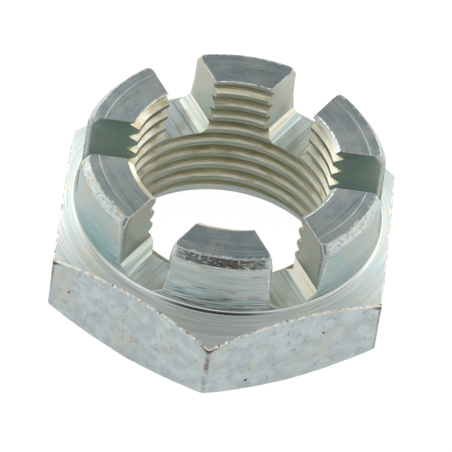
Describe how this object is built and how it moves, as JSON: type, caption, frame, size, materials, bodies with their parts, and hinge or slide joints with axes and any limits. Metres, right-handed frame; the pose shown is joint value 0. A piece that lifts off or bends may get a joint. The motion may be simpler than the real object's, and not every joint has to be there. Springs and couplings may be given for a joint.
{
  "type": "axle nut",
  "caption": "Hexagon axle nut with a sloping shoulder and a round crown slotted across for a split pin, with a fine-pitch thread and a flat bearing face.",
  "frame": {"origin": "centre of the bearing face, on the thread's axis", "axes": "+Z along the thread's axis from the bearing face towards the crown; X across two opposite flats and along one pair of slots; Y through two opposite corners"},
  "size_m": [0.03, 0.0346, 0.0146],
  "materials": {
    "zinc_plated_steel": "bright zinc plating, satin"
  },
  "bodies": {
    "root": {"axle_nut": "zinc_plated_steel"}
  },
  "joints": []
}
